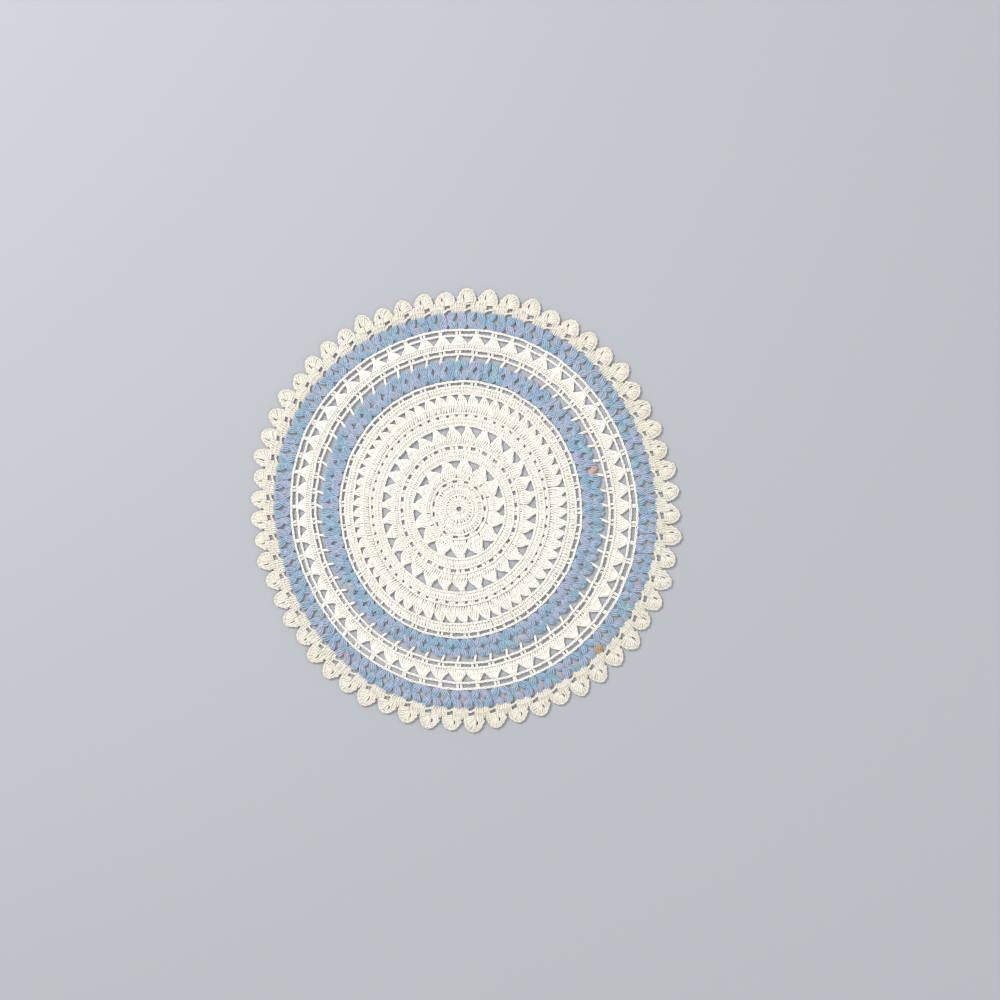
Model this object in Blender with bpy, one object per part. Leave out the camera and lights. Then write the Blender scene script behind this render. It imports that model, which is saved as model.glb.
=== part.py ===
"""Round crocheted lace doily, built as the one flat openwork sheet that it is.

The lace is worked in rounds from a small ring outwards: white bands and cluster
rounds, a blue band, a white cluster round between chain lines, a second blue band
and an edging of sixty leaning lobes.  The sheet lies flat on z = 0 with its origin
at the bottom centre of its outline.  Sizes in the tables are millimetres.
"""

import math

import bmesh
import bpy

MM = 0.001

# The sheet
THICKNESS = 2.0 * MM
REPEATS = 60
COTTON_WHITE = (0.83, 0.80, 0.72, 1.0)
COTTON_ROUGHNESS = 0.85
WELD_DISTANCE = 0.000001

# Where the repeats start, and how far they drift round the doily (degrees)
FIRST_REPEAT = 3.1
DRIFT = 2.0
DRIFT_SIDE = 55.0

# The edging: mean reach of the lobe tips, and the two waves that make them uneven,
# each with its height and its step from one lobe to the next (radians)
LOBE_REACH = 130.3
LOBE_SHIFT = 0.1
LONG_WAVE = 0.8
LONG_WAVE_STEP = 2.4
SHORT_WAVE = 0.5
SHORT_WAVE_STEP = 5.3

# How each round departs from a true circle, because handwork pulls and spreads:
# radius, shift to the right, shift up, widening across, widening on the slant, squareness
ROUND_SHAPES = (
    (0.0, -3.8, 0.5, 0.0, 0.0, 0.0),
    (26.0, -3.8, 0.5, -1.0, 0.0, 0.0),
    (45.0, -3.8, 0.6, -1.6, 0.1, -0.2),
    (64.0, -3.2, 0.7, -2.2, 0.2, -0.2),
    (75.0, -2.6, 0.4, -2.3, 0.1, -0.3),
    (88.0, -1.8, 0.8, -2.2, -0.6, -0.2),
    (99.0, -1.1, 0.8, -2.2, -0.9, -0.4),
    (106.0, -0.7, 0.4, -2.0, -1.0, -0.5),
    (115.0, 0.0, 0.0, -2.1, -0.8, -0.8),
    (131.0, 0.0, 0.0, -1.9, -0.9, -1.0),
)

# One lobe of the edging, going anticlockwise: place in the repeat, drop below the tip
LOBE_PROFILE = (
    (-0.36, 6.1),
    (-0.27, 3.6),
    (-0.14, 1.0),
    (0.00, 0.0),
    (0.14, 0.6),
    (0.27, 2.0),
    (0.41, 4.0),
    (0.53, 5.7),
)

# The gaps that are cut through, a row for each round of them:
# form, gaps in the round, place in the repeat, inner radius, outer radius, width
GAP_ROUNDS = (
    ("wedge", 15, -0.90, 23.2, 28.4, 7.4),
    ("wedge", 30, 0.22, 42.1, 47.8, 6.7),
    ("arch", 60, 0.12, 85.7, 88.7, 7.4),
    ("wedge", 60, 0.00, 96.4, 100.8, 6.6),
    ("bar", 60, 0.00, 102.7, 104.5, 7.2),
    ("star", 60, 0.60, 109.3, 114.2, 4.8),
)

# The gaps' forms in shares of their width and depth; outward is away from the middle
GAP_FORMS = {
    "wedge": ((-0.07, 0.0), (0.07, 0.0), (0.5, 0.84), (0.38, 1.0), (-0.38, 1.0), (-0.5, 0.84)),
    "bar": ((-0.42, 0.0), (0.42, 0.0), (0.5, 0.5), (0.42, 1.0), (-0.42, 1.0), (-0.5, 0.5)),
    "arch": ((-0.5, 0.0), (-0.25, 0.38), (0.25, 0.38), (0.5, 0.0), (0.42, 1.0), (-0.42, 1.0)),
    "star": (
        (0.0, 0.0), (0.16, 0.34), (0.5, 0.5), (0.16, 0.66),
        (0.0, 1.0), (-0.16, 0.66), (-0.5, 0.5), (-0.16, 0.34),
    ),
}


def clear_scene():
    """Remove the objects that Blender starts with."""
    for item in list(bpy.data.objects):
        bpy.data.objects.remove(item, do_unlink=True)


def shape_at(radius):
    """Interpolate the row of ROUND_SHAPES that holds at a radius in millimetres."""
    for low, high in zip(ROUND_SHAPES, ROUND_SHAPES[1:]):
        if radius <= high[0]:
            share = (radius - low[0]) / (high[0] - low[0])
            return [a + share * (b - a) for a, b in zip(low[1:], high[1:])]
    return ROUND_SHAPES[-1][1:]


def place(radius, angle):
    """Turn a radius and an angle on the true circle into X and Y on the worked lace."""
    right, up, across, slant, square = shape_at(radius)
    reach = radius + across * math.cos(2 * angle) + slant * math.sin(2 * angle)
    reach += square * math.sin(4 * angle)
    return right + reach * math.cos(angle), up + reach * math.sin(angle)


def repeat_angle(turns):
    """Angle of a place counted in turns of the whole doily, with the repeats' slow drift."""
    angle = math.tau * turns
    drift = DRIFT * math.cos(angle - math.radians(DRIFT_SIDE))
    return angle + math.radians(FIRST_REPEAT + drift)


def lobe_reach(index):
    """Radius of one lobe's tip; no two neighbours reach quite as far."""
    long_wave = LONG_WAVE * math.sin(LONG_WAVE_STEP * index)
    short_wave = SHORT_WAVE * math.cos(SHORT_WAVE_STEP * index)
    return LOBE_REACH + long_wave + short_wave


def outline_points():
    """The scalloped edge, lobe by lobe."""
    points = []
    for index in range(REPEATS):
        for shift, drop in LOBE_PROFILE:
            angle = repeat_angle((index + LOBE_SHIFT + shift) / REPEATS)
            points.append(place(lobe_reach(index) - drop, angle))
    return points


def gap_points(form, turns, inner, outer, width):
    """One gap's outline: its form laid along the round and stretched to its size."""
    middle_radius = 0.5 * (inner + outer)
    middle_angle = repeat_angle(turns)
    points = []
    for along, outward in GAP_FORMS[form]:
        angle = middle_angle + along * width / middle_radius
        points.append(place(inner + outward * (outer - inner), angle))
    return points


def all_gaps():
    """Every gap's outline, round by round."""
    gaps = []
    for form, count, shift, inner, outer, width in GAP_ROUNDS:
        for index in range(count):
            # Shifts are counted in repeats of the edging, also in the inner rounds
            turns = index / count + shift / REPEATS
            gaps.append(gap_points(form, turns, inner, outer, width))
    return gaps


def box_centre(points):
    """Middle of the box round some points."""
    across = [x for x, _ in points]
    up = [y for _, y in points]
    return 0.5 * (min(across) + max(across)), 0.5 * (min(up) + max(up))


def add_loop(curve, points, centre):
    """Add one closed loop of straight steps to a flat curve."""
    spline = curve.splines.new("POLY")
    spline.points.add(len(points) - 1)
    for target, (x, y) in zip(spline.points, points):
        target.co = ((x - centre[0]) * MM, (y - centre[1]) * MM, 0.0, 1.0)
    spline.use_cyclic_u = True


def lace_curve():
    """Flat filled curve of the outline and the gaps, as thick as the lace."""
    outline = outline_points()
    centre = box_centre(outline)
    curve = bpy.data.curves.new("lace_outline", "CURVE")
    curve.dimensions = "2D"
    curve.fill_mode = "BOTH"
    curve.extrude = THICKNESS / 2
    add_loop(curve, outline, centre)
    for gap in all_gaps():
        add_loop(curve, gap, centre)
    return curve


def cotton():
    """Matt off-white crochet cotton."""
    material = bpy.data.materials.new("white_cotton")
    material.use_nodes = True
    shader = material.node_tree.nodes["Principled BSDF"]
    shader.inputs["Base Color"].default_value = COTTON_WHITE
    shader.inputs["Roughness"].default_value = COTTON_ROUGHNESS
    shader.inputs["Metallic"].default_value = 0.0
    material.diffuse_color = COTTON_WHITE
    return material


def solid_from_curve(curve, name, collection):
    """Make the extruded curve one closed mesh object with its caps joined on."""
    guide = bpy.data.objects.new("lace_guide", curve)
    collection.objects.link(guide)
    guide.location.z = THICKNESS / 2
    bpy.context.view_layer.update()
    evaluated = guide.evaluated_get(bpy.context.evaluated_depsgraph_get())
    mesh = bpy.data.meshes.new_from_object(evaluated)
    mesh.name = name
    work = bmesh.new()
    work.from_mesh(mesh)
    bmesh.ops.remove_doubles(work, verts=work.verts, dist=WELD_DISTANCE)
    bmesh.ops.recalc_face_normals(work, faces=work.faces)
    work.to_mesh(mesh)
    work.free()
    solid = bpy.data.objects.new(name, mesh)
    solid.matrix_world = guide.matrix_world.copy()
    collection.objects.link(solid)
    bpy.data.objects.remove(guide, do_unlink=True)
    return solid


def build():
    """Build the doily in its own collection."""
    clear_scene()
    collection = bpy.data.collections.new("lace_doily")
    bpy.context.scene.collection.children.link(collection)
    doily = solid_from_curve(lace_curve(), "doily", collection)
    doily.data.materials.append(cotton())


build()
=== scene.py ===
"""Looks of a round crocheted lace doily, lying flat and seen from straight above.

The lace is worked in thread.  A stitch is a few strands, written down in millimetres along
its round, outward and up; a round repeats its stitches round the doily; a row is a round, or
two that belong together; a band gathers its rows in one mesh and is dressed in its own
cotton.  White rounds come first, then a blue band, a white cluster round between chain
lines, a second blue band and an ecru edging.
"""

import logging
import math
from dataclasses import dataclass, field
from enum import Enum

import bmesh
import bpy
import numpy as np
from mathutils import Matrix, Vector


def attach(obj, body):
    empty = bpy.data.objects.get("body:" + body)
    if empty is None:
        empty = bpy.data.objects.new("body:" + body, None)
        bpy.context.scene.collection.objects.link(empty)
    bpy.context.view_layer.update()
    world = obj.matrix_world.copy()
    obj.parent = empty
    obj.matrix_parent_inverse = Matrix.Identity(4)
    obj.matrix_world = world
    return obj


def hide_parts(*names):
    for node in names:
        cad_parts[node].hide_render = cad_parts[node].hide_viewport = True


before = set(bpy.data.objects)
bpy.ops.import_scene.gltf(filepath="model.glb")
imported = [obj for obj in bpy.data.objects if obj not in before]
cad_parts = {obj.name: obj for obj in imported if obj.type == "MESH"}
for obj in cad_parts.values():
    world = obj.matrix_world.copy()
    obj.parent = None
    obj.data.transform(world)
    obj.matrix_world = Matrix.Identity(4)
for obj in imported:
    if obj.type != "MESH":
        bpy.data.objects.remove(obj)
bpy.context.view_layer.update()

LOG = logging.getLogger("lace_doily")

MM = 0.001
REPEATS = 60
UP = np.array((0.0, 0.0, 1.0))

THREAD = 0.86           # width of the cotton thread as worked
THREAD_FLATNESS = 0.64  # its height, as a share of its width
THREAD_SIDES = 5
POST_WIDTH = 1.72       # a post is two strands wound round each other
COIL_FLATNESS = 0.62    # a wound post is flatter than it is wide
COIL_TAPER = 0.14       # share of a post over which its strands come together
COIL_CLOSED = 0.75      # how far apart they stay at its ends, as a share
CROSSING = 2.6          # how quickly a post's strands change sides
STRAY_PHASE = 0.05      # how much the place of that crossing strays, in turns
LAY = 0.86              # height of a post's middle above the table
FOOT = 0.55             # height of a post's foot, which dips under the round before
CHAIN_HEIGHT = 1.06     # height of the chain along the top of a round

# How finely a curve is read, before its even steps are taken
READINGS_A_SPAN = 8     # from one of its points to the next
READINGS_A_POST = 20    # along a post, where its wraps find their places
READINGS_A_LINK = 8     # along a chain, for each link
LEAST_LENGTH = 1e-6     # keeps a direction from being divided by nought
COURSE_STEP = 100.0     # more than once round the tube, so that height counts first

NOISE_DETAIL = 2.0

Place = tuple[float, float]
Point = tuple[float, float, float]
Colour = tuple[float, float, float]


class Tube(Enum):
    """How many steps a strand's tube takes along its length."""

    LINK = 4
    POST = 5
    LONG = 8


def waves(table: tuple[tuple[float, ...], ...], x: np.ndarray, y: np.ndarray) -> np.ndarray:
    """Add up some waves that run across the doily.

    Args:
        table: each wave's share, its steps along x and along y, and its start.
        x: places along x.
        y: places along y.

    Returns:
        The sum of the waves at each place.
    """
    return sum(
        share * np.sin(step_x * x + step_y * y + start) for share, step_x, step_y, start in table
    )


@dataclass(frozen=True)
class LaceMap:
    """Where a place on the true circle lies on the lace as it was worked, in millimetres."""

    # where the repeats start, and how far they drift round the doily, in degrees
    first_repeat: float = 3.1
    drift: float = 2.0
    drift_side: float = 55.0
    # middle of the box round the lobes, which is laid on the origin
    middle: Place = (0.391, -0.101)
    # how far the thread wanders, and the waves that it follows in x and in y: share,
    # steps a millimetre along x and along y, and start, in radians
    wander: float = 0.16
    wander_x: tuple[tuple[float, ...], ...] = ((1.0, 0.31, 0.17, 1.3), (0.6, -0.42, 0.83, 0.0))
    wander_y: tuple[tuple[float, ...], ...] = ((1.0, -0.21, 0.27, 0.4), (0.6, 0.77, 0.45, 0.0))
    # how far the lace lifts off the table, and its slow wave's step and start in x and in y
    lift: float = 0.12
    lift_x: Place = (0.051, 0.9)
    lift_y: Place = (0.063, 0.2)
    # radius, shift right, shift up, widening across, widening on the slant, squareness
    shapes: tuple[tuple[float, ...], ...] = (
        (0.0, -3.8, 0.5, 0.0, 0.0, 0.0),
        (26.0, -3.8, 0.5, -1.0, 0.0, 0.0),
        (45.0, -3.8, 0.6, -1.6, 0.1, -0.2),
        (64.0, -3.2, 0.7, -2.2, 0.2, -0.2),
        (75.0, -2.6, 0.4, -2.3, 0.1, -0.3),
        (88.0, -1.8, 0.8, -2.2, -0.6, -0.2),
        (99.0, -1.1, 0.8, -2.2, -0.9, -0.4),
        (106.0, -0.7, 0.4, -2.0, -1.0, -0.5),
        (115.0, 0.0, 0.0, -2.1, -0.8, -0.8),
        (131.0, 0.0, 0.0, -1.9, -0.9, -1.0),
    )

    def angle(self, turns: np.ndarray) -> np.ndarray:
        """Find the angle of places counted in turns of the whole doily.

        Args:
            turns: places, in turns from the first repeat.

        Returns:
            Their angles in radians, with the slow drift of the repeats.
        """
        angle = math.tau * turns
        drift = self.drift * np.cos(angle - math.radians(self.drift_side))
        return angle + np.radians(self.first_repeat + drift)

    def lay(self, turns: np.ndarray, radius: np.ndarray, height: np.ndarray) -> np.ndarray:
        """Lay places of the true circle on the table.

        Args:
            turns: places round the doily, in turns.
            radius: distances from the middle.
            height: heights above the table.

        Returns:
            The points, with x, y and z along the last axis.
        """
        angle = self.angle(turns)
        table = np.array(self.shapes)
        right, up, across, slant, square = (
            np.interp(radius, table[:, 0], table[:, column]) for column in range(1, 6)
        )
        reach = radius + across * np.cos(2 * angle) + slant * np.sin(2 * angle)
        reach = reach + square * np.sin(4 * angle)
        x = right + reach * np.cos(angle) - self.middle[0]
        y = up + reach * np.sin(angle) - self.middle[1]
        stray_x = self.wander * waves(self.wander_x, x, y)
        stray_y = self.wander * waves(self.wander_y, x, y)
        step_x, start_x = self.lift_x
        step_y, start_y = self.lift_y
        rise = 1.0 + np.sin(step_x * x + start_x) * np.cos(step_y * y + start_y)
        return np.stack((x + stray_x, y + stray_y, height + self.lift * rise), axis=-1)


def smooth_line(points: np.ndarray, steps: int) -> np.ndarray:
    """Read a smooth curve through some points at even steps.

    Args:
        points: the points that the curve runs through, one a row.
        steps: how many even steps to take.

    Returns:
        One row for each end of a step.
    """
    ends = np.vstack((2 * points[0] - points[1], points, 2 * points[-1] - points[-2]))
    fine = np.linspace(0.0, 1.0, READINGS_A_SPAN + 1)[:-1, None]
    pieces = []
    for a, b, c, d in zip(ends, ends[1:], ends[2:], ends[3:]):
        bend = (2 * a - 5 * b + 4 * c - d) * fine**2 + (3 * b - a - 3 * c + d) * fine**3
        pieces.append(0.5 * (2 * b + (c - a) * fine + bend))
    line = np.vstack(pieces + [points[-1:]])
    run = np.concatenate(([0.0], np.cumsum(np.linalg.norm(np.diff(line, axis=0), axis=1))))
    even = np.linspace(0.0, run[-1], steps + 1)
    return np.stack([np.interp(even, run, line[:, axis]) for axis in range(3)], axis=1)


@dataclass(frozen=True)
class Strand:
    """One run of thread: points along the round, outward and up, and how it is wound."""

    points: tuple[Point, ...]
    tube: Tube = Tube.LINK
    thickness: float = THREAD
    coil: float = 0.0
    turns: float = 0.0
    phase: float = 0.0

    def line(self) -> np.ndarray:
        """Give the strand's middle line, a row for each end of a step."""
        return smooth_line(np.array(self.points, float), self.tube.value)


@dataclass(frozen=True)
class Post:
    """An upright stitch: two strands wound round each other from foot to top."""

    path: tuple[Place, ...]
    tube: Tube = Tube.POST
    turns: float = 0.36
    width: float = POST_WIDTH
    thickness: float = THREAD
    foot: float = FOOT
    rise: float = 0.12
    # shares of the path at which the thread is wrapped over the post, and the wrap's size
    wraps: tuple[float, ...] = ()
    wrap_reach: float = 0.78
    wrap_slant: float = 0.42
    wrap_rise: float = 0.52
    wrap_drop: float = 0.1
    wrap_thickness: float = 0.74

    def strands(self) -> list[Strand]:
        """Wind the post.

        Returns:
            Its two strands, and those that are wrapped over it.
        """
        last = len(self.path) - 1
        points = []
        for index, (along, outward) in enumerate(self.path):
            high = LAY + self.rise * math.sin(math.pi * index / last)
            points.append((along, outward, high if index else self.foot))
        coil = 0.5 * (self.width - self.thickness)
        wound = [
            Strand(tuple(points), self.tube, self.thickness, coil, self.turns, phase)
            for phase in (-0.5 * self.turns, 0.5 - 0.5 * self.turns)
        ]
        line = smooth_line(np.array(points, float), READINGS_A_POST)
        for share in self.wraps:
            x, y, z = line[round(READINGS_A_POST * share)]
            over = (
                (x - self.wrap_reach, y - self.wrap_slant, z - self.wrap_drop),
                (x, y, z + self.wrap_rise),
                (x + self.wrap_reach, y + self.wrap_slant, z - self.wrap_drop),
            )
            wound.append(Strand(over, Tube.LINK, self.wrap_thickness))
        return wound


@dataclass(frozen=True)
class Chain:
    """A run of chain links, each a pair of legs that open out and close over the next."""

    path: tuple[Place, ...]
    links: int = 1
    width: float = 0.84
    thickness: float = 0.72
    height: float = CHAIN_HEIGHT
    # place in the link, share of the width, height
    leg: tuple[Point, ...] = (
        (-0.62, 0.05, -0.16),
        (-0.28, 0.27, 0.12),
        (0.06, 0.46, 0.22),
        (0.36, 0.50, 0.12),
        (0.58, 0.24, -0.16),
    )

    def strands(self) -> list[Strand]:
        """Link the chain.

        Returns:
            Two legs for each link.
        """
        points = np.array([(*place, self.height) for place in self.path], float)
        line = smooth_line(points, READINGS_A_LINK * self.links)
        ahead = np.gradient(line, axis=0)
        length = np.linalg.norm(np.diff(line, axis=0), axis=1).sum()
        ahead /= np.linalg.norm(ahead, axis=1)[:, None]
        share = np.linspace(0.0, 1.0, len(line))
        legs = []
        for link in range(self.links):
            for side in (-1.0, 1.0):
                leg = []
                for place, spread, height in self.leg:
                    at = (link + 0.5 + place) / self.links
                    inside = min(1.0, max(0.0, at))
                    spot = np.array([np.interp(inside, share, line[:, axis]) for axis in range(3)])
                    way = np.array([np.interp(inside, share, ahead[:, axis]) for axis in range(3)])
                    spot += (at - inside) * length * way
                    spot += side * self.width * spread * np.cross(UP, way) + height * UP
                    leg.append(tuple(spot))
                legs.append(Strand(tuple(leg), Tube.LINK, self.thickness))
        return legs


@dataclass(frozen=True)
class Round:
    """Stitches that repeat round the doily.

    The strands' outward sizes count from `radius`, and their sizes along the round are true
    at `reference`.  `shift` is the place of the first copy, counted in repeats of the edging.
    """

    count: int
    radius: float
    reference: float
    strands: tuple[Strand, ...]
    shift: float = 0.0
    height: float = 5.0
    sway: float = 0.12
    slack: float = 0.04
    stretch: tuple[float, ...] = ()


def frames(lines: np.ndarray) -> tuple[np.ndarray, np.ndarray]:
    """Find what is aside of and above each place of some lines.

    Args:
        lines: middle lines, with x, y and z along the last of the three axes.

    Returns:
        Unit vectors aside and above, square to the lines.
    """
    ahead = np.gradient(lines, axis=1)
    ahead /= np.linalg.norm(ahead, axis=2)[..., None]
    aside = np.cross(UP, ahead)
    aside /= np.maximum(np.linalg.norm(aside, axis=2)[..., None], LEAST_LENGTH)
    return aside, np.cross(ahead, aside)


def wind(
    lines: np.ndarray, coil: np.ndarray, turns: np.ndarray, phase: np.ndarray
) -> np.ndarray:
    """Wind strands round their middle lines.

    Args:
        lines: the middle lines.
        coil: how far each strand stands off its line.
        turns: how often each strand goes round.
        phase: where each strand starts, in turns.

    Returns:
        The wound lines.
    """
    aside, above = frames(lines)
    share = np.linspace(0.0, 1.0, lines.shape[1])[None]
    taper = np.clip(np.minimum(share, 1.0 - share) / COIL_TAPER, COIL_CLOSED, 1.0)
    angle = math.tau * (turns[:, None] * share + phase[:, None])
    off = coil[:, None] * taper
    wide = off * np.tanh(CROSSING * np.cos(angle)) / math.tanh(CROSSING)
    high = COIL_FLATNESS * off * np.sin(angle)
    return lines + wide[..., None] * aside + high[..., None] * above


def course(item: bmesh.types.BMFace | bmesh.types.BMEdge) -> float:
    """Number the faces or the edges of a straight tube, from its foot up and then round.

    Args:
        item: a face or an edge.

    Returns:
        Its number, in which height counts before the place round the tube.
    """
    middle = sum((vertex.co for vertex in item.verts), Vector()) / len(item.verts)
    return COURSE_STEP * middle.z + math.atan2(middle.y, middle.x)


def straight_tube(steps: int) -> bpy.types.Mesh:
    """Model a straight closed tube of unit radius along z, a unit for each step.

    Args:
        steps: how many steps it takes.

    Returns:
        The tube, with its map: round the thread and along it.
    """
    work = bmesh.new()
    bmesh.ops.create_circle(work, segments=THREAD_SIDES, radius=1.0)
    rim = list(work.edges)
    for _ in range(steps):
        grown = bmesh.ops.extrude_edge_only(work, edges=rim)["geom"]
        corners = {item for item in grown if isinstance(item, bmesh.types.BMVert)}
        bmesh.ops.translate(work, verts=list(corners), vec=(0.0, 0.0, 1.0))
        rim = [
            item
            for item in grown
            if isinstance(item, bmesh.types.BMEdge) and corners.issuperset(item.verts)
        ]
    bmesh.ops.holes_fill(work, edges=work.edges, sides=0)
    bmesh.ops.recalc_face_normals(work, faces=work.faces)
    # The extrusion gives its faces and edges in another order in each run
    work.faces.sort(key=course)
    work.edges.sort(key=course)
    layer = work.loops.layers.uv.new("thread")
    for face in work.faces:
        rounds = [math.atan2(loop.vert.co.y, loop.vert.co.x) / math.tau for loop in face.loops]
        # Corners more than half a turn apart lie on either side of the map's seam
        if max(rounds) - min(rounds) > 0.5:
            rounds = [place + 1.0 if place < 0.0 else place for place in rounds]
        for loop, place in zip(face.loops, rounds):
            loop[layer].uv = (place, loop.vert.co.z / steps)
    mesh = bpy.data.meshes.new("straight_tube")
    work.to_mesh(mesh)
    work.free()
    return mesh


def copies_of(mesh: bpy.types.Mesh, count: int) -> bpy.types.Mesh:
    """Repeat a mesh with an Array modifier.

    Args:
        mesh: the mesh to repeat.
        count: how many copies to make.

    Returns:
        A new mesh of all the copies, one after another.
    """
    holder = bpy.data.objects.new("thread_store", mesh)
    bpy.context.scene.collection.objects.link(holder)
    array = holder.modifiers.new("copies", "ARRAY")
    array.count = count
    array.use_relative_offset = False
    array.use_constant_offset = True
    array.constant_offset_displace = (0.0, 0.0, 0.0)
    evaluated = holder.evaluated_get(bpy.context.evaluated_depsgraph_get())
    made = bpy.data.meshes.new_from_object(evaluated)
    bpy.data.objects.remove(holder, do_unlink=True)
    return made


def stretch_map(mesh: bpy.types.Mesh, run: np.ndarray) -> None:
    """Stretch the thread map to millimetres along the thread.

    Args:
        mesh: the mesh whose map it is.
        run: the strand's length at each of the map's corners.
    """
    layer = mesh.uv_layers["thread"]
    corners = np.empty(len(layer.uv) * 2, np.float32)
    layer.uv.foreach_get("vector", corners)
    corners[1::2] *= run
    layer.uv.foreach_set("vector", corners)


class ThreadWork:
    """Lays rounds of strands on the table and gathers them in one mesh."""

    def __init__(self, lace: LaceMap, seed: int) -> None:
        """Start with no thread laid.

        Args:
            lace: where places on the doily lie.
            seed: start of this band's random draws.
        """
        self.lace = lace
        self.random = np.random.default_rng(seed)
        self.laid: dict[Tube, list[dict[str, np.ndarray]]] = {tube: [] for tube in Tube}

    def lay_round(self, work: Round) -> None:
        """Lay every copy of a round's strands, each a little out of its place.

        Args:
            work: the round to lay.
        """
        copies = np.arange(work.count)
        sway = self.random.normal(0.0, work.sway, work.count)[:, None, None]
        stretch = np.array(work.stretch or (0.0,) * work.count)[:, None, None]
        for tube in Tube:
            strands = [strand for strand in work.strands if strand.tube is tube]
            if not strands:
                continue
            local = np.stack([strand.line() for strand in strands])
            shape = (work.count, len(strands), 1, 3)
            place = local[None] + self.random.normal(0.0, work.slack, shape)
            share = place[..., 1] / work.height
            along = place[..., 0] + sway * share
            outward = place[..., 1] + stretch * share
            turns = copies[:, None, None] / work.count + work.shift / REPEATS
            turns = turns + along / (math.tau * work.reference)
            lines = self.lace.lay(turns, work.radius + outward, place[..., 2])
            facts = np.array([(s.thickness, s.coil, s.turns, s.phase) for s in strands])
            facts = np.tile(facts, (work.count, 1))
            stray = self.random.normal(0.0, STRAY_PHASE, (len(facts) + 1) // 2)
            facts[:, 3] += np.repeat(stray, 2)[: len(facts)]
            tone = self.random.uniform(0.0, 1.0, len(facts))
            lines = lines.reshape(-1, tube.value + 1, 3)
            self.laid[tube].append({"lines": lines, "facts": facts, "tone": tone})

    def mesh(self, name: str) -> bpy.types.Mesh:
        """Sweep a tube along every strand that was laid.

        Args:
            name: the new mesh's name.

        Returns:
            The mesh, in metres, with the map and the tone that the cotton reads.
        """
        gathered = bmesh.new()
        for tube, parts in self.laid.items():
            if parts:
                swept = self.sweep(tube, parts)
                gathered.from_mesh(swept)
                bpy.data.meshes.remove(swept)
        mesh = bpy.data.meshes.new(name)
        gathered.to_mesh(mesh)
        gathered.free()
        mesh.shade_smooth()
        return mesh

    def sweep(self, tube: Tube, parts: list[dict[str, np.ndarray]]) -> bpy.types.Mesh:
        """Bend copies of one straight tube along the strands that share its steps.

        Args:
            tube: the kind of tube.
            parts: what lay_round kept of those strands.

        Returns:
            One mesh of all the strands.
        """
        lines = np.concatenate([part["lines"] for part in parts])
        thickness, coil, turns, phase = np.concatenate([part["facts"] for part in parts]).T
        tone = np.concatenate([part["tone"] for part in parts])
        lines = wind(lines, coil, turns, phase)
        aside, above = frames(lines)
        straight = straight_tube(tube.value)
        spots = np.array([vertex.co for vertex in straight.vertices])
        ring = np.rint(spots[:, 2]).astype(int)
        wide = spots[None, :, 0, None] * aside[:, ring]
        high = THREAD_FLATNESS * spots[None, :, 1, None] * above[:, ring]
        places = lines[:, ring] + 0.5 * thickness[:, None, None] * (wide + high)
        mesh = copies_of(straight, len(lines))
        mesh.vertices.foreach_set("co", (places * MM).astype(np.float32).ravel())
        run = np.linalg.norm(np.diff(lines, axis=1), axis=2).sum(axis=1)
        stretch_map(mesh, np.repeat(run, len(straight.loops)))
        attribute = mesh.attributes.new("tone", "FLOAT", "POINT")
        attribute.data.foreach_set("value", np.repeat(tone, len(spots)).astype(np.float32))
        bpy.data.meshes.remove(straight)
        return mesh


class Value:
    """A socket that a shader node gives, which takes part in plain arithmetic."""

    def __init__(self, graph: "Graph", socket: bpy.types.NodeSocket) -> None:
        """Keep the socket and the graph that new nodes go to."""
        self.graph = graph
        self.socket = socket

    def _math(self, operation: str, *terms: "Value | float") -> "Value":
        """Add a Math node on some terms."""
        return self.graph.node("ShaderNodeMath", {"operation": operation}, *terms)

    def __add__(self, other: "Value | float") -> "Value":
        """Add."""
        return self._math("ADD", self, other)

    __radd__ = __add__

    def __sub__(self, other: "Value | float") -> "Value":
        """Take away."""
        return self._math("SUBTRACT", self, other)

    def __rsub__(self, other: "Value | float") -> "Value":
        """Take this away from a number."""
        return self._math("SUBTRACT", other, self)

    def __mul__(self, other: "Value | float") -> "Value":
        """Multiply."""
        return self._math("MULTIPLY", self, other)

    __rmul__ = __mul__

    def sine(self) -> "Value":
        """Give the sine of an angle in radians."""
        return self._math("SINE", self)

    def smooth(self, low: float, high: float) -> "Value":
        """Rise smoothly from 0 at low to 1 at high."""
        settings = {"interpolation_type": "SMOOTHSTEP"}
        return self.graph.node("ShaderNodeMapRange", settings, self, low, high, 0.0, 1.0)

    def output(self, name: str) -> "Value":
        """Give another output of the same node."""
        return Value(self.graph, self.socket.node.outputs[name])


class Blend(Enum):
    """How one colour acts on another where they are mixed."""

    MIX = "MIX"
    MULTIPLY = "MULTIPLY"


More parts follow.
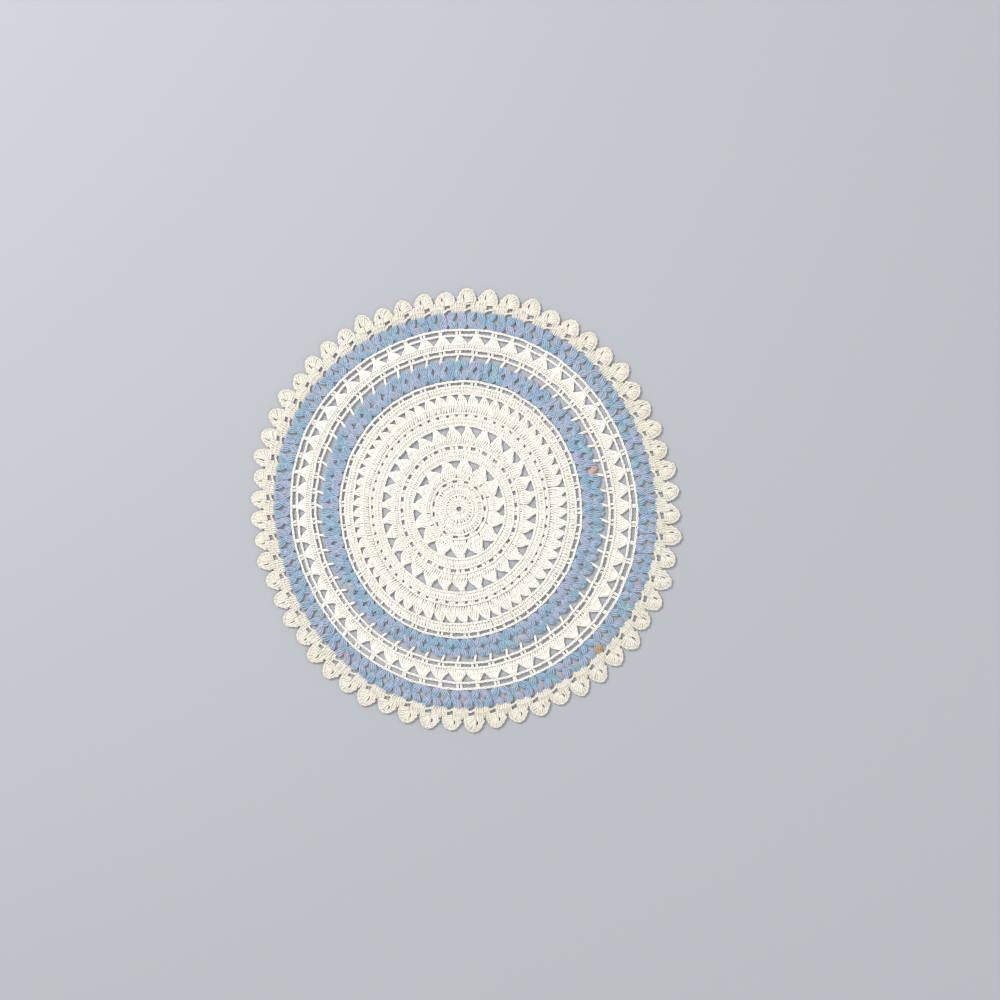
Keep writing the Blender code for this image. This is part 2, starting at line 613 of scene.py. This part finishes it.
class Graph:
    """A material's nodes."""

    def __init__(self, name: str) -> None:
        """Start a material with its Principled shader.

        Args:
            name: the material's name.
        """
        self.material = bpy.data.materials.new(name)
        self.material.use_nodes = True
        self.tree = self.material.node_tree
        self.shader = self.tree.nodes["Principled BSDF"]

    def feed(self, socket: bpy.types.NodeSocket, term: object) -> None:
        """Link a socket to a value, or set its number, vector or colour.

        Args:
            socket: the input socket.
            term: a Value, a number, or three numbers.
        """
        if isinstance(term, Value):
            self.tree.links.new(term.socket, socket)
        elif isinstance(term, tuple) and socket.type == "RGBA":
            socket.default_value = (*term, 1.0)
        else:
            socket.default_value = term

    def node(self, kind: str, settings: dict[str, object], *terms: object) -> Value:
        """Add a node and set its sockets.

        Args:
            kind: the node's type.
            settings: what is set on the node itself, before its sockets.
            terms: values or links for its input sockets that are in use, in order.

        Returns:
            Its first output that is in use.
        """
        made = self.tree.nodes.new(kind)
        for key, value in settings.items():
            setattr(made, key, value)
        sockets = [socket for socket in made.inputs if socket.enabled]
        for socket, term in zip(sockets, terms):
            self.feed(socket, term)
        return Value(self, next(socket for socket in made.outputs if socket.enabled))

    def ramp(self, place: Value, stops: tuple[tuple[float, Colour], ...]) -> Value:
        """Read a colour ramp.

        Args:
            place: where to read it, from 0 to 1.
            stops: places from 0 to 1 with their colours.

        Returns:
            The colour there.
        """
        made = self.node("ShaderNodeValToRGB", {}, place)
        elements = made.socket.node.color_ramp.elements
        while len(elements) < len(stops):
            elements.new(1.0)
        for element, (position, colour) in zip(elements, stops):
            element.position = position
            element.color = (*colour, 1.0)
        return made

    def noise(self, place: Value, scale: float, roughness: float) -> Value:
        """Read noise at a place."""
        return self.node("ShaderNodeTexNoise", {}, place, scale, NOISE_DETAIL, roughness)

    def mix(
        self, share: Value | float, first: object, second: object, blend: Blend = Blend.MIX
    ) -> Value:
        """Mix two colours.

        Args:
            share: how much of the second there is.
            first: a colour or a link.
            second: a colour or a link.
            blend: how the second acts on the first.

        Returns:
            The mixed colour.
        """
        settings = {"data_type": "RGBA", "blend_type": blend.value}
        return self.node("ShaderNodeMix", settings, share, first, second)


@dataclass(frozen=True)
class Fleck:
    """A spot of another colour in the thread, gone at its radius; sizes are in metres."""

    place: Point
    radius: float
    colour: Colour
    strength: float = 1.0
    # share of the radius inside which the colour is full
    core: float = 0.4


@dataclass(frozen=True)
class Cotton:
    """Crochet cotton: three plies twisted together, dyed along the thread."""

    name: str
    # place on the ramp and colour; the dye's noise picks the place
    dye: tuple[tuple[float, Colour], ...]
    dye_scale: float = 110.0
    dye_roughness: float = 0.5
    # how much a strand's own tone moves its place on the ramp
    tone_share: float = 0.12
    # what the painted shade leaves of a colour, and how much of it plies and strands get: painted
    # shade in the creases between plies, and a random darker tone from strand to strand
    shadow: float = 0.78
    ply_shade: float = 0.35
    tone_shade: float = 0.35
    # millimetres along the thread from one ply to the next; depths are in metres
    ply_length: float = 1.5
    plies: int = 3
    ply_depth: float = 0.00006
    fuzz_scale: float = 2600.0
    fuzz_roughness: float = 0.6
    fuzz_depth: float = 0.00003
    bump_strength: float = 0.8
    roughness: float = 0.72
    specular: float = 0.3
    sheen: float = 0.15
    sheen_roughness: float = 0.5
    flecks: tuple[Fleck, ...] = ()

    def dyed(self, graph: Graph, place: Value, tone: Value) -> Value:
        """Colour the thread by its place on the doily.

        Args:
            graph: the material's nodes.
            place: the place on the doily.
            tone: how light this strand is, from 0 to 1.

        Returns:
            The dye's colour.
        """
        patch = graph.noise(place, self.dye_scale, self.dye_roughness)
        spot = patch * (1.0 - self.tone_share) + tone * self.tone_share
        colour = graph.ramp(spot, self.dye)
        for fleck in self.flecks:
            away = graph.node("ShaderNodeVectorMath", {"operation": "DISTANCE"}, place, fleck.place)
            full = fleck.core * fleck.radius
            near = 1.0 - away.output("Value").smooth(full, fleck.radius)
            colour = graph.mix(near * fleck.strength, colour, fleck.colour)
        return colour

    def material(self) -> bpy.types.Material:
        """Build the material.

        Returns:
            The material, which reads the thread map and the tone.
        """
        graph = Graph(self.name)
        place = graph.node("ShaderNodeTexCoord", {}).output("Object")
        tone = graph.node("ShaderNodeAttribute", {"attribute_name": "tone"}).output("Fac")
        thread = graph.node("ShaderNodeUVMap", {"uv_map": "thread"})
        parts = graph.node("ShaderNodeSeparateXYZ", {}, thread)
        lay = parts.output("X") * self.plies + parts.output("Y") * (1.0 / self.ply_length)
        ridge = (lay * math.tau).sine() * 0.5 + 0.5
        # painted shade in the creases between the plies, where the ridge is low, plus a random
        # darker tone for some strands, multiplied into the dye's colour
        painted_shade_and_tone = (1.0 - ridge) * self.ply_shade + (1.0 - tone) * self.tone_shade
        shade = (self.shadow, self.shadow, self.shadow)
        colour = graph.mix(painted_shade_and_tone, self.dyed(graph, place, tone), shade, Blend.MULTIPLY)
        fuzz = graph.noise(place, self.fuzz_scale, self.fuzz_roughness)
        bump = graph.node("ShaderNodeBump", {}, self.bump_strength, 1.0)
        height = ridge * self.ply_depth + fuzz * self.fuzz_depth
        graph.feed(bump.socket.node.inputs["Height"], height)
        shader = graph.shader.inputs
        graph.feed(shader["Base Color"], colour)
        graph.feed(shader["Normal"], bump)
        shader["Roughness"].default_value = self.roughness
        shader["Specular IOR Level"].default_value = self.specular
        shader["Sheen Weight"].default_value = self.sheen
        shader["Sheen Roughness"].default_value = self.sheen_roughness
        return graph.material


WHITE = Cotton(
    "white_cotton",
    ((0.30, (0.93, 0.88, 0.79)), (0.5, (0.95, 0.91, 0.82)), (0.72, (0.94, 0.91, 0.84))),
    dye_scale=26.0,
)
BLUE = Cotton(
    "blue_cotton",
    (
        (0.30, (0.37, 0.54, 0.59)),
        (0.41, (0.27, 0.41, 0.55)),
        (0.50, (0.36, 0.48, 0.60)),
        (0.58, (0.47, 0.47, 0.61)),
        (0.65, (0.31, 0.44, 0.56)),
        (0.72, (0.38, 0.50, 0.53)),
    ),
    dye_scale=95.0,
    flecks=(
        Fleck((0.0804, -0.0834, 0.001), 0.0044, (0.54, 0.35, 0.15)),
        Fleck((0.0766, 0.0238, 0.001), 0.0040, (0.68, 0.44, 0.30), 0.85),
        Fleck((0.0328, -0.0768, 0.001), 0.0036, (0.60, 0.50, 0.44), 0.7),
        Fleck((-0.0727, -0.0864, 0.001), 0.0034, (0.56, 0.33, 0.38), 0.7),
        Fleck((-0.0703, -0.0456, 0.001), 0.0040, (0.58, 0.50, 0.45), 0.7),
    ),
)
ECRU = Cotton(
    "ecru_cotton",
    ((0.3, (0.79, 0.74, 0.61)), (0.5, (0.82, 0.78, 0.67)), (0.7, (0.82, 0.75, 0.64))),
    dye_scale=40.0,
)


def even_places(count: int, span: float) -> list[float]:
    """Spread some places evenly about a middle.

    Args:
        count: how many places there are.
        span: the distance from the first to the last.

    Returns:
        The places.
    """
    return [span * (index / (count - 1) - 0.5) for index in range(count)]


def gather(stitches: list[Post | Chain]) -> tuple[Strand, ...]:
    """Give all the strands of some stitches."""
    return tuple(strand for stitch in stitches for strand in stitch.strands())


class Row:
    """A round of a band, or two that belong together."""

    def rounds(self) -> list[Round]:
        """Give the row's rounds, from the inside out."""
        raise NotImplementedError


@dataclass(frozen=True)
class ChainRow(Row):
    """A plain round of chain: its radius and its number of links."""

    radius: float
    count: int

    def rounds(self) -> list[Round]:
        """Work the row.

        Returns:
            The round of links.
        """
        half = 0.5 * math.tau * self.radius / self.count
        strands = gather([Chain(((-half, 0.0), (half, 0.0)))])
        return [Round(self.count, self.radius, self.radius, strands, sway=0.0)]


@dataclass(frozen=True)
class TrebleRow(Row):
    """A plain round of trebles, with the chain that forms along its top."""

    inner: float
    outer: float
    count: int
    # how far a foot reaches under the round before, a top leans, and a top stays short
    sink: float = 0.4
    lean: float = 0.12
    clearance: float = 0.2
    wraps: tuple[float, ...] = (0.5,)
    sway: float = 0.08

    def rounds(self) -> list[Round]:
        """Work the row.

        Returns:
            The round of posts and the chain on top of it.
        """
        reach = self.outer - self.inner
        middle = 0.5 * (self.inner + self.outer)
        path = ((0.0, -self.sink), (0.0, 0.5 * reach), (self.lean, reach - self.clearance))
        strands = gather([Post(path, wraps=self.wraps)])
        posts = Round(self.count, self.inner, middle, strands, height=reach, sway=self.sway)
        return [posts, *ChainRow(self.outer, self.count).rounds()]


@dataclass(frozen=True)
class ShortRow(Row):
    """Short posts between two chain lines, with openings where no post stands."""

    inner: float
    outer: float
    count: int
    # middle of the first group, in repeats, and where the posts of a group stand
    shift: float
    places: tuple[float, ...]
    turns: float = 0.3
    width: float = 1.6
    thickness: float = 0.8
    sway: float = 0.05

    def rounds(self) -> list[Round]:
        """Work the row.

        Returns:
            The round of short posts.
        """
        reach = self.outer - self.inner
        middle = 0.5 * (self.inner + self.outer)
        posts = [
            Post(((place, 0.0), (place, reach)), Tube.LINK, self.turns, self.width, self.thickness)
            for place in self.places
        ]
        return [Round(self.count, self.inner, middle, gather(posts), self.shift, reach, self.sway)]


@dataclass(frozen=True)
class PostRow(Row):
    """Single posts that stand in the dips of the band inside them."""

    inner: float
    reference: float
    shift: float
    post: Post
    height: float = 5.0
    sway: float = 0.3

    def rounds(self) -> list[Round]:
        """Work the row.

        Returns:
            The round of posts.
        """
        strands = gather([self.post])
        return [
            Round(
                REPEATS, self.inner, self.reference, strands, self.shift, self.height, self.sway
            )
        ]


@dataclass(frozen=True)
class ClusterRow(Row):
    """Long trebles drawn together at the top, with a wedge gap on either side."""

    count: int
    shift: float
    posts: int
    # radius, width over the posts' middles, and place of the cluster's middle
    form: tuple[Point, ...]
    tube: Tube = Tube.LONG
    turns: float = 1.0
    wraps: tuple[float, ...] = (0.26, 0.72)
    sway: float = 0.2

    def rounds(self) -> list[Round]:
        """Work the row.

        Returns:
            The round of clusters.
        """
        inner = self.form[0][0]
        shoulder = self.form[1][0]
        reach = self.form[-1][0] - inner
        stitches = []
        for share in even_places(self.posts, 1.0):
            path = tuple(
                (share * span + lean, radius - inner) for radius, span, lean in self.form
            )
            stitches.append(Post(path, self.tube, self.turns, wraps=self.wraps))
        strands = gather(stitches)
        return [Round(self.count, inner, shoulder, strands, self.shift, reach, self.sway)]


@dataclass(frozen=True)
class PetalRow(Row):
    """Pairs of petals, each a puff of posts that open from one foot and lean apart."""

    shift: float
    inner: float
    reference: float
    # foot along, middle along and out, top along and out, for one side's posts
    posts: tuple[tuple[float, ...], ...]
    # how far the tops lean along the round, and the share of it at a post's middle
    lean: float = 0.3
    lean_share: float = 0.4
    # how far a foot reaches under the round before, and the closing chain lies low
    sink: float = 0.5
    chain_drop: float = 0.1
    height: float = 5.0
    sway: float = 0.25

    def rounds(self) -> list[Round]:
        """Work the row.

        Returns:
            The round of petals, with the chain that closes their tops.
        """
        stitches: list[Post | Chain] = []
        for side in (-1.0, 1.0):
            tops = []
            for foot, middle, middle_out, top, top_out in self.posts:
                tops.append((side * top + self.lean, top_out))
                waist = (side * middle + self.lean_share * self.lean, middle_out)
                path = ((side * foot, -self.sink), waist, tops[-1])
                stitches.append(Post(path, width=1.9, thickness=0.95, rise=0.35))
            height = CHAIN_HEIGHT - self.chain_drop
            stitches.append(Chain((tops[0], tops[-1]), width=0.7, height=height))
        strands = gather(stitches)
        return [
            Round(
                REPEATS, self.inner, self.reference, strands, self.shift, self.height, self.sway
            )
        ]


@dataclass
class Band:
    """A band of rounds in one cotton; the bands below say which rows they have."""

    name: str
    cotton: Cotton
    # start of the band's random draws
    seed: int
    rows: tuple[Row, ...] = ()
    piece: bpy.types.Object | None = field(default=None, init=False)

    def rounds(self) -> list[Round]:
        """Give the band's rounds, from the inside out."""
        return [worked for row in self.rows for worked in row.rounds()]

    def build(self, lace: LaceMap) -> None:
        """Work the band in thread and dress it.

        Args:
            lace: where places on the doily lie.
        """
        work = ThreadWork(lace, self.seed)
        for work_round in self.rounds():
            work.lay_round(work_round)
        mesh = work.mesh(self.name)
        mesh.materials.append(self.cotton.material())
        self.piece = bpy.data.objects.new(self.name, mesh)
        bpy.context.scene.collection.objects.link(self.piece)
        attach(self.piece, "root")
        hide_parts("doily")
        triangles = sum(len(face.vertices) - 2 for face in mesh.polygons)
        LOG.info("%s: %d triangles", self.name, triangles)


@dataclass
class CentreRounds(Band):
    """The ring, two rounds of trebles, the first clusters and a band of trebles."""

    rows: tuple[Row, ...] = (
        ChainRow(2.2, 8),
        TrebleRow(2.9, 8.6, 24),
        TrebleRow(9.2, 14.8, 48),
        ShortRow(15.0, 17.2, 15, 1.60, (-1.3, 0.0, 1.3)),
        ChainRow(17.4, 51),
        ClusterRow(
            count=15,
            shift=0.80,
            posts=7,
            form=((17.7, 6.3, 0.6), (22.1, 8.2, 0.0), (25.3, 4.6, 0.0), (28.3, 1.7, 1.1)),
        ),
        ChainRow(28.8, 84),
        TrebleRow(29.4, 34.0, 132),
        ShortRow(34.2, 37.0, 30, 0.96, (-1.6, -0.95, 0.95, 1.6)),
        ChainRow(37.1, 105),
    )


@dataclass
class MiddleRounds(Band):
    """The second clusters and a band of trebles."""

    rows: tuple[Row, ...] = (
        ClusterRow(
            count=30,
            shift=0.94,
            posts=6,
            form=((37.4, 6.4, 0.0), (41.3, 7.4, -0.1), (44.5, 3.9, 0.15), (47.8, 0.8, 1.25)),
        ),
        ChainRow(48.4, 132),
        TrebleRow(49.0, 52.8, 204),
        ShortRow(53.0, 55.4, 60, -0.02, (-1.3, 0.0, 1.3)),
        ChainRow(55.5, 150),
    )


@dataclass
class OuterWhiteRounds(Band):
    """The third clusters, a band of trebles and a row of slots."""

    rows: tuple[Row, ...] = (
        ClusterRow(
            count=60,
            shift=-0.03,
            posts=4,
            form=((55.8, 4.5, 0.4), (61.3, 4.9, 0.0), (63.7, 3.2, 0.35), (66.1, 1.0, 1.2)),
            turns=0.5,
            wraps=(0.4,),
        ),
        ChainRow(66.7, 168),
        TrebleRow(67.3, 71.2, 248),
        ShortRow(71.5, 74.2, 30, 0.7, (-4.7, 2.6, 5.0)),
        ChainRow(74.3, 186),
    )


@dataclass
class InnerBlueBand(Band):
    """Two rows of petals, the second standing in the dips of the first."""

    rows: tuple[Row, ...] = (
        PetalRow(
            shift=0.20,
            inner=75.6,
            reference=78.5,
            posts=(
                (0.4, 1.0, 3.0, 1.8, 5.1),
                (0.9, 2.1, 2.7, 2.9, 5.2),
                (1.4, 3.3, 2.2, 3.9, 4.7),
            ),
            lean=0.2,
        ),
        PetalRow(
            shift=0.70,
            inner=81.0,
            reference=83.5,
            posts=(
                (0.4, 1.0, 2.5, 1.4, 4.6),
                (0.9, 2.1, 2.6, 2.6, 5.3),
                (1.4, 3.3, 2.6, 3.9, 5.5),
            ),
            lean=0.2,
        ),
    )


@dataclass
class ClusterBand(Band):
    """Posts into the blue band's dips, clusters, and a ladder between chain lines."""

    rows: tuple[Row, ...] = (
        PostRow(
            inner=85.2,
            reference=88.0,
            shift=0.53,
            post=Post(
                path=((1.2, -1.6), (0.2, 2.0), (-0.8, 4.9)),
                tube=Tube.LINK,
                turns=0.3,
                width=1.5,
                thickness=0.85,
                foot=0.5,
            ),
        ),
        ChainRow(90.1, 222),
        ShortRow(90.4, 93.1, 60, 0.47, (-1.15, 1.15)),
        ChainRow(93.2, 228),
        ClusterRow(
            count=60,
            shift=0.45,
            posts=7,
            form=((93.3, 8.7, 0.2), (96.0, 8.7, 0.0), (98.5, 4.9, -0.15), (101.3, 1.9, 0.5)),
            tube=Tube.POST,
            turns=0.4,
            wraps=(0.35,),
        ),
        ChainRow(101.8, 240),
        ShortRow(102.1, 105.2, 30, 0.5, (-1.0, 1.0, 10.5, 11.3)),
        ChainRow(105.4, 246),
    )


@dataclass
class OuterBlueBand(Band):
    """Two rows of petals, wider than those of the inner blue band."""

    rows: tuple[Row, ...] = (
        PetalRow(
            shift=0.53,
            inner=106.2,
            reference=108.5,
            posts=(
                (0.6, 1.4, 2.7, 3.2, 4.8),
                (1.2, 2.7, 2.2, 4.3, 4.6),
                (1.8, 4.0, 1.6, 5.3, 4.1),
            ),
        ),
        PetalRow(
            shift=0.13,
            inner=111.1,
            reference=114.0,
            posts=(
                (0.6, 1.4, 2.8, 2.4, 4.9),
                (1.2, 2.6, 2.4, 3.8, 5.1),
                (1.8, 3.9, 2.0, 5.1, 4.7),
            ),
        ),
    )


@dataclass
class Edging(Band):
    """Sixty leaning lobes: a fan of posts over a small hole, on a group of trebles."""

    # the groups of trebles: how they are laid, and how many posts each has over what width
    group_inner: float = 116.2
    group_reference: float = 119.0
    group_shift: float = 0.55
    group_height: float = 7.0
    group_sway: float = 0.12
    group_posts: int = 6
    group_width: float = 7.6
    # how the group curves away from its middle, by the square of a post's place, and how
    # many times that at its tops
    group_dip: float = 0.03
    group_top_dip: float = 2.0
    # the feet: how they draw together, lean and reach under, and their height
    foot_share: float = 0.86
    foot_lean: float = 0.2
    foot_sink: float = 0.2
    foot_height: float = FOOT + 0.1
    waist_out: float = 3.2
    # the chain between two groups, over the blue band's dip
    bridge: tuple[Place, ...] = ((3.9, 2.4), (6.2, 2.1), (8.6, 0.9))
    bridge_links: int = 2
    bridge_height: float = 0.9
    # the lobes: how they are laid, and the chain along the rim
    lobe_inner: float = 121.5
    lobe_reference: float = 127.0
    lobe_shift: float = 0.1
    lobe_height: float = 8.0
    lobe_sway: float = 0.25
    lobe_slack: float = 0.05
    lobe_foot_height: float = FOOT + 0.2
    rim_links: int = 7
    # the two waves that make the lobes' tips uneven, with their steps in radians
    long_wave: float = 0.8
    long_wave_step: float = 2.4
    short_wave: float = 0.5
    short_wave_step: float = 5.3
    # each post of the fan: foot, middle and top, along and out
    fan: tuple[tuple[Place, Place, Place], ...] = (
        ((1.2, 0.1), (-1.4, 0.5), (-4.2, 1.0)),
        ((1.2, 0.7), (-1.4, 1.7), (-4.1, 2.7)),
        ((1.2, 1.3), (-1.2, 2.9), (-3.5, 4.4)),
        ((1.2, 1.8), (-0.7, 4.0), (-2.5, 6.1)),
        ((1.2, 2.3), (0.1, 4.8), (-1.1, 7.3)),
        ((1.3, 2.7), (0.9, 5.1), (0.5, 7.7)),
        ((2.0, 4.9), (2.1, 6.1), (2.1, 7.4)),
        ((2.3, -0.2), (2.3, 1.2), (2.2, 2.6)),
        ((3.8, 0.2), (4.0, 2.9), (3.7, 6.0)),
        ((5.2, 0.0), (5.3, 1.9), (5.0, 3.9)),
    )
    rim: tuple[Place, ...] = (
        (-4.7, 0.9),
        (-4.6, 3.1),
        (-3.7, 5.4),
        (-2.0, 7.3),
        (0.0, 8.1),
        (1.9, 7.8),
        (3.6, 6.5),
        (5.1, 4.5),
        (6.4, 2.7),
    )

    def reaches(self) -> tuple[float, ...]:
        """Find how far each lobe's tip stands beyond the mean reach.

        Returns:
            One distance for each lobe; no two neighbours reach quite as far.
        """
        return tuple(
            self.long_wave * math.sin(self.long_wave_step * lobe)
            + self.short_wave * math.cos(self.short_wave_step * lobe)
            for lobe in range(REPEATS)
        )

    def group(self) -> Round:
        """Work the group of trebles under the dip between two lobes.

        Returns:
            The round of groups, with the chain that bridges the blue band's dips.
        """
        stitches: list[Post | Chain] = []
        for place in even_places(self.group_posts, self.group_width):
            dip = self.group_dip * place * place
            foot = (self.foot_share * place + self.foot_lean, -self.foot_sink - dip)
            top = (place, self.group_height - self.group_top_dip * dip)
            path = (foot, (place, self.waist_out), top)
            stitches.append(Post(path, foot=self.foot_height, wraps=(0.5,)))
        bridge = Chain(self.bridge, self.bridge_links, width=0.7, height=self.bridge_height)
        stitches.append(bridge)
        return Round(
            REPEATS,
            self.group_inner,
            self.group_reference,
            gather(stitches),
            self.group_shift,
            self.group_height,
            self.group_sway,
        )

    def lobe(self) -> Round:
        """Work one leaning lobe: its fan of posts and the chain along its rim.

        Returns:
            The round of lobes.
        """
        foot = self.lobe_foot_height
        stitches: list[Post | Chain] = [
            Post(path, turns=0.1, width=2.2, thickness=1.12, foot=foot, rise=0.25)
            for path in self.fan
        ]
        stitches.append(Chain(self.rim, self.rim_links))
        return Round(
            REPEATS,
            self.lobe_inner,
            self.lobe_reference,
            gather(stitches),
            self.lobe_shift,
            self.lobe_height,
            self.lobe_sway,
            self.lobe_slack,
            self.reaches(),
        )

    def rounds(self) -> list[Round]:
        """Give the band's rounds, from the inside out."""
        return [self.group(), self.lobe()]


@dataclass(frozen=True)
class Setting:
    """Floor, lights and camera, in metres; the lens and the sensor are in millimetres."""

    view_width: float = 0.599
    view_middle: Place = (0.02033, 0.00615)
    lens: float = 50.0
    sensor: float = 36.0
    floor_size: float = 40.0
    floor_drop: float = 0.0001
    floor_colour: Colour = (0.40, 0.41, 0.43)
    floor_roughness: float = 0.9
    sky: Colour = (0.95, 0.97, 1.0)
    sky_strength: float = 0.68
    # name, place, size and power
    lamps: tuple[tuple[str, Point, float, float], ...] = (
        ("key", (-1.05, 0.98, 1.3), 0.7, 32.0),
        ("fill", (0.9, -0.5, 1.1), 1.2, 5.0),
    )

    def lay_floor(self) -> None:
        """Lay a plain pale floor just under the lace."""
        work = bmesh.new()
        bmesh.ops.create_grid(work, x_segments=1, y_segments=1, size=0.5 * self.floor_size)
        bmesh.ops.translate(work, verts=work.verts, vec=(0.0, 0.0, -self.floor_drop))
        mesh = bpy.data.meshes.new("floor")
        work.to_mesh(mesh)
        work.free()
        graph = Graph("floor")
        graph.feed(graph.shader.inputs["Base Color"], self.floor_colour)
        graph.shader.inputs["Roughness"].default_value = self.floor_roughness
        mesh.materials.append(graph.material)
        floor = bpy.data.objects.new("floor", mesh)
        bpy.context.scene.collection.objects.link(floor)

    def hang_camera(self) -> None:
        """Hang the camera straight above, with as wide a view as the photograph."""
        data = bpy.data.cameras.new("camera")
        data.lens = self.lens
        data.sensor_width = self.sensor
        camera = bpy.data.objects.new("camera", data)
        camera.location = (*self.view_middle, self.view_width * self.lens / self.sensor)
        bpy.context.scene.collection.objects.link(camera)
        bpy.context.scene.camera = camera

    def light(self) -> None:
        """Light the lace softly, with one large light from the upper left."""
        scene = bpy.context.scene
        scene.view_settings.view_transform = "Standard"
        world = bpy.data.worlds.new("world")
        world.use_nodes = True
        back = world.node_tree.nodes["Background"].inputs
        back["Color"].default_value = (*self.sky, 1.0)
        back["Strength"].default_value = self.sky_strength
        scene.world = world
        for name, place, size, power in self.lamps:
            data = bpy.data.lights.new(name, "AREA")
            data.size = size
            data.energy = power
            lamp = bpy.data.objects.new(name, data)
            lamp.location = place
            lamp.rotation_euler = (-Vector(place)).to_track_quat("-Z", "Y").to_euler()
            scene.collection.objects.link(lamp)


def main() -> None:
    logging.basicConfig(level=logging.INFO, format="%(message)s")
    lace = LaceMap()
    bands: list[Band] = [
        CentreRounds("centre_rounds", WHITE, 11),
        MiddleRounds("middle_rounds", WHITE, 12),
        OuterWhiteRounds("outer_white_rounds", WHITE, 13),
        InnerBlueBand("inner_blue_band", BLUE, 14),
        ClusterBand("cluster_band", WHITE, 15),
        OuterBlueBand("outer_blue_band", BLUE, 16),
        Edging("ecru_edging", ECRU, 17),
    ]
    for band in bands:
        band.build(lace)
    setting = Setting()
    setting.lay_floor()
    setting.hang_camera()
    setting.light()


if __name__ == "__main__":
    main()
